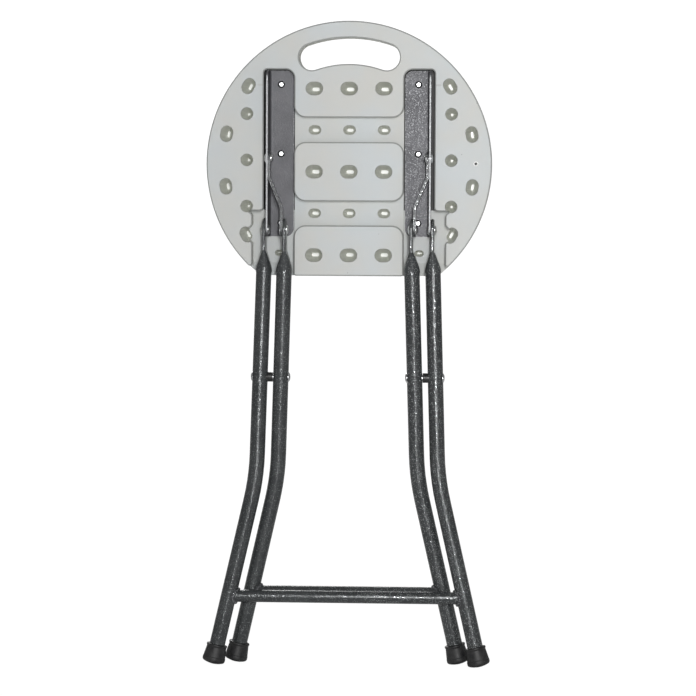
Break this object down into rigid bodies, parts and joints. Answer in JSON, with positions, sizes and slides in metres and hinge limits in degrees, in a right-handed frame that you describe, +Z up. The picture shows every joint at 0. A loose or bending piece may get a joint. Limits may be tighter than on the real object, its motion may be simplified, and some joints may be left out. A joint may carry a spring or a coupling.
{
  "type": "folding stool",
  "caption": "Folding stool: round hollow plastic seat with a carrying slot, on crossed tubular steel legs that fold flat against its underside through riveted links.",
  "frame": {"origin": "bottom centre of the folded stool, on the floor between its feet", "axes": "+Z up through the folded stool from the feet to the carrying slot, -Y out of the seat's underside, +X to the right when looking at the underside"},
  "size_m": [0.297, 0.0584, 0.6638],
  "materials": {
    "seat_plastic": "satin moulded",
    "hammered_paint": "dark grey hammered powder coat",
    "zinc_rivets": "bright zinc",
    "black_rubber": "matte",
    "black_plastic": "satin"
  },
  "bodies": {
    "seat": {"seat_shell": "seat_plastic", "bracket_left": "hammered_paint", "bracket_right": "hammered_paint", "bracket_rivets_left": "zinc_rivets", "bracket_rivets_right": "zinc_rivets", "leg_pivot_rivet_left": "zinc_rivets", "leg_pivot_rivet_right": "zinc_rivets", "link_pivot_rivet_left": "zinc_rivets", "link_pivot_rivet_right": "zinc_rivets"},
    "outer_frame": {"outer_leg_left": "hammered_paint", "outer_leg_right": "hammered_paint", "outer_crossbar": "hammered_paint", "outer_weld_beads": "hammered_paint", "outer_foot_left": "black_rubber", "outer_foot_right": "black_rubber", "cross_rivet_left": "zinc_rivets", "cross_rivet_right": "zinc_rivets", "cross_spacer_left": "black_plastic", "cross_spacer_right": "black_plastic"},
    "inner_frame": {"inner_leg_left": "hammered_paint", "inner_leg_right": "hammered_paint", "inner_crossbar": "hammered_paint", "inner_weld_beads": "hammered_paint", "inner_foot_left": "black_rubber", "inner_foot_right": "black_rubber", "inner_pivot_rivet_left": "zinc_rivets", "inner_pivot_rivet_right": "zinc_rivets"},
    "left_link": {"link_left": "hammered_paint", "link_end_rivet_left": "zinc_rivets"},
    "right_link": {"link_right": "hammered_paint", "link_end_rivet_right": "zinc_rivets"}
  },
  "joints": [
    {"name": "leg_fold", "type": "hinge", "parent": "seat", "child": "outer_frame", "pos_m": [0, -0.0028, 0.44951], "axis": [-1, 0, 0], "range_deg": [0, 116.93]},
    {"name": "crossing_turn", "type": "hinge", "parent": "outer_frame", "child": "inner_frame", "pos_m": [0, -0.00773, 0.29759], "axis": [-1, 0, 0], "range_deg": [-53.87, 0]},
    {"name": "left_link_turn", "type": "hinge", "parent": "seat", "child": "left_link", "pos_m": [0, -0.00773, 0.52271], "axis": [-1, 0, 0], "range_deg": [0, 180.01]},
    {"name": "right_link_turn", "type": "hinge", "parent": "seat", "child": "right_link", "pos_m": [0, -0.00773, 0.52271], "axis": [-1, 0, 0], "range_deg": [0, 180.01]}
  ],
  "couplings": [
    {"joint": "crossing_turn", "follows": "leg_fold", "ratio": -0.46063},
    {"joint": "left_link_turn", "follows": "leg_fold", "ratio": 1.5394},
    {"joint": "right_link_turn", "follows": "leg_fold", "ratio": 1.5394}
  ]
}
